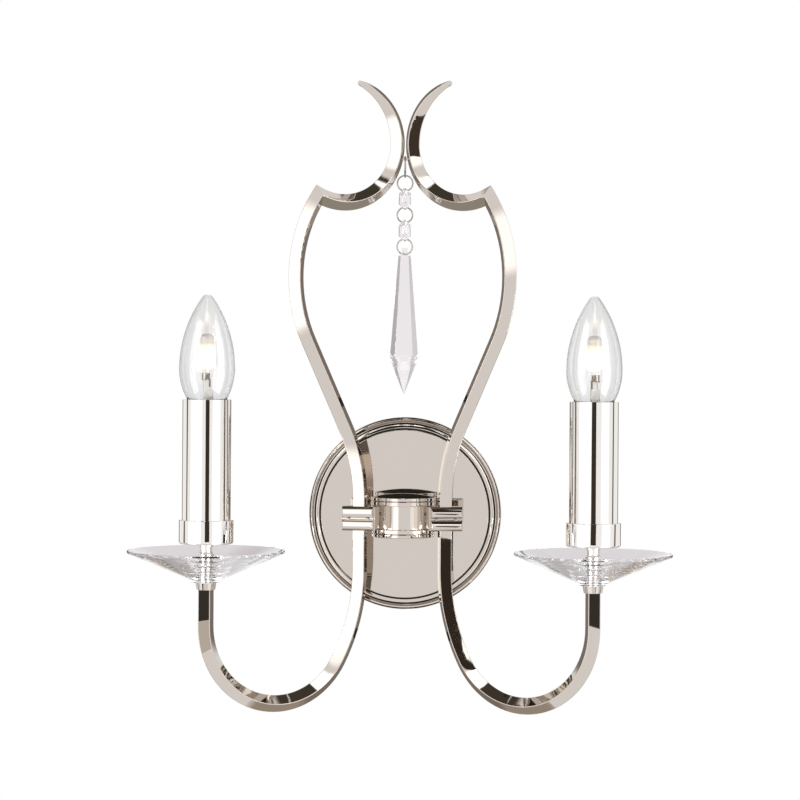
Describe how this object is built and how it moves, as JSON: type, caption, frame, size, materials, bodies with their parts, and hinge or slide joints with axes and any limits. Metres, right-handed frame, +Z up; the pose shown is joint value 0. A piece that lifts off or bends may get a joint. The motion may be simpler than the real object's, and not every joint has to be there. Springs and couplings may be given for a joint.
{
  "type": "candle wall light",
  "caption": "Polished nickel wall light: curved square-bar arms rise from a hub to crescent horns and carry electric candles on glass dishes, with a crystal drop between.",
  "frame": {"origin": "centre of the back plate on the wall plane, midway between the wall screw slots", "axes": "+Y into the wall, the front faces -Y, +Z up, +X to the viewer's right"},
  "size_m": [0.3378, 0.1729, 0.4036],
  "materials": {
    "polished_nickel": "mirror polished warm nickel plate",
    "bright_nickel": "mirror polished nickel plate, turned parts",
    "zinc_steel": "zinc plated steel",
    "chain_wire": "bright plated wire",
    "drop_crystal": "cut and polished clear crystal",
    "dish_crystal": "polished clear glass",
    "bulb_glass": "thin clear blown glass",
    "lit_quartz": "clear quartz, glowing warm",
    "cap_aluminium": "drawn bright aluminium",
    "contact_metal": "tinned solder contact",
    "bulb_ceramic": "white ceramic",
    "holder_plastic": "white moulded plastic",
    "block_plastic": "natural moulded plastic",
    "lead_insulation": "clear to white sleeve"
  },
  "bodies": {
    "fixture": {"back_plate": "polished_nickel", "stem_collar": "polished_nickel", "hub_body": "polished_nickel", "hub_top_cap": "polished_nickel", "hub_bottom_cap": "polished_nickel", "drop_pin": "polished_nickel", "left_arm_saddle": "polished_nickel", "left_clamp_strap": "polished_nickel", "left_arm": "polished_nickel", "left_crescent": "polished_nickel", "left_dish_seat": "polished_nickel", "left_spindle": "bright_nickel", "left_candle_cup": "bright_nickel", "left_candle_tube": "bright_nickel", "left_glass_dish": "dish_crystal", "left_holder_nipple": "bright_nickel", "left_stack_nut": "zinc_steel", "left_lampholder": "holder_plastic", "left_lamp_lead": "lead_insulation", "right_arm_saddle": "polished_nickel", "right_clamp_strap": "polished_nickel", "right_arm": "polished_nickel", "right_crescent": "polished_nickel", "right_dish_seat": "polished_nickel", "right_spindle": "bright_nickel", "right_candle_cup": "bright_nickel", "right_candle_tube": "bright_nickel", "right_glass_dish": "dish_crystal", "right_holder_nipple": "bright_nickel", "right_stack_nut": "zinc_steel", "right_lampholder": "holder_plastic", "right_lamp_lead": "lead_insulation", "wall_bracket": "zinc_steel", "rim_screws": "zinc_steel", "earth_screw": "zinc_steel", "hub_stem": "zinc_steel", "stem_nut": "zinc_steel", "hub_tie_screw": "zinc_steel", "clamp_screws": "zinc_steel", "saddle_screws": "zinc_steel", "terminal_block": "block_plastic"},
    "hook_ring": {"hook_ring": "chain_wire"},
    "upper_ring": {"upper_ring": "chain_wire"},
    "upper_bead": {"upper_bead": "drop_crystal"},
    "middle_ring": {"middle_ring": "chain_wire"},
    "lower_bead": {"lower_bead": "drop_crystal"},
    "lower_ring": {"lower_ring": "chain_wire"},
    "crystal_drop": {"crystal_drop": "drop_crystal"},
    "left_bulb_contact": {"left_bulb_contact": "contact_metal"},
    "left_bulb": {"left_bulb_cap": "cap_aluminium", "left_bulb_glass": "bulb_glass", "left_bulb_mount": "bulb_ceramic", "left_bulb_capsule": "lit_quartz"},
    "right_bulb_contact": {"right_bulb_contact": "contact_metal"},
    "right_bulb": {"right_bulb_cap": "cap_aluminium", "right_bulb_glass": "bulb_glass", "right_bulb_mount": "bulb_ceramic", "right_bulb_capsule": "lit_quartz"}
  },
  "joints": [
    {"name": "hook_ring_swing", "type": "hinge", "parent": "fixture", "child": "hook_ring", "pos_m": [0, -0.04793, 0.2336], "axis": [1, 0, 0], "range_deg": [-6, 6]},
    {"name": "upper_ring_swing", "type": "hinge", "parent": "hook_ring", "child": "upper_ring", "pos_m": [0, -0.04793, 0.2216], "axis": [0, 1, 0], "range_deg": [-11, 11]},
    {"name": "upper_bead_swing", "type": "hinge", "parent": "upper_ring", "child": "upper_bead", "pos_m": [0, -0.04793, 0.2128], "axis": [1, 0, 0], "range_deg": [-4, 4]},
    {"name": "middle_ring_swing", "type": "hinge", "parent": "upper_bead", "child": "middle_ring", "pos_m": [0, -0.04793, 0.2019], "axis": [1, 0, 0], "range_deg": [-4, 4]},
    {"name": "lower_bead_swing", "type": "hinge", "parent": "middle_ring", "child": "lower_bead", "pos_m": [0, -0.04793, 0.1921], "axis": [1, 0, 0], "range_deg": [-4, 4]},
    {"name": "lower_ring_swing", "type": "hinge", "parent": "lower_bead", "child": "lower_ring", "pos_m": [0, -0.04793, 0.1812], "axis": [1, 0, 0], "range_deg": [-4, 4]},
    {"name": "crystal_drop_swing", "type": "hinge", "parent": "lower_ring", "child": "crystal_drop", "pos_m": [0, -0.04793, 0.1714], "axis": [1, 0, 0], "range_deg": [-8, 8]},
    {"name": "left_bulb_rise", "type": "slide", "parent": "fixture", "child": "left_bulb_contact", "axis": [0, 0, 1], "range_m": [0, 0.0142]},
    {"name": "left_bulb_turn", "type": "hinge", "parent": "left_bulb_contact", "child": "left_bulb", "pos_m": [-0.11993, -0.12388, 0.08], "axis": [0, 0, 1], "range_deg": [0, 1800]},
    {"name": "right_bulb_rise", "type": "slide", "parent": "fixture", "child": "right_bulb_contact", "axis": [0, 0, 1], "range_m": [0, 0.0142]},
    {"name": "right_bulb_turn", "type": "hinge", "parent": "right_bulb_contact", "child": "right_bulb", "pos_m": [0.11993, -0.12388, 0.08], "axis": [0, 0, 1], "range_deg": [0, 1800]}
  ],
  "couplings": [
    {"joint": "left_bulb_rise", "follows": "left_bulb_turn", "m_per_rad": 0.00044882},
    {"joint": "right_bulb_rise", "follows": "right_bulb_turn", "m_per_rad": 0.00044882}
  ]
}
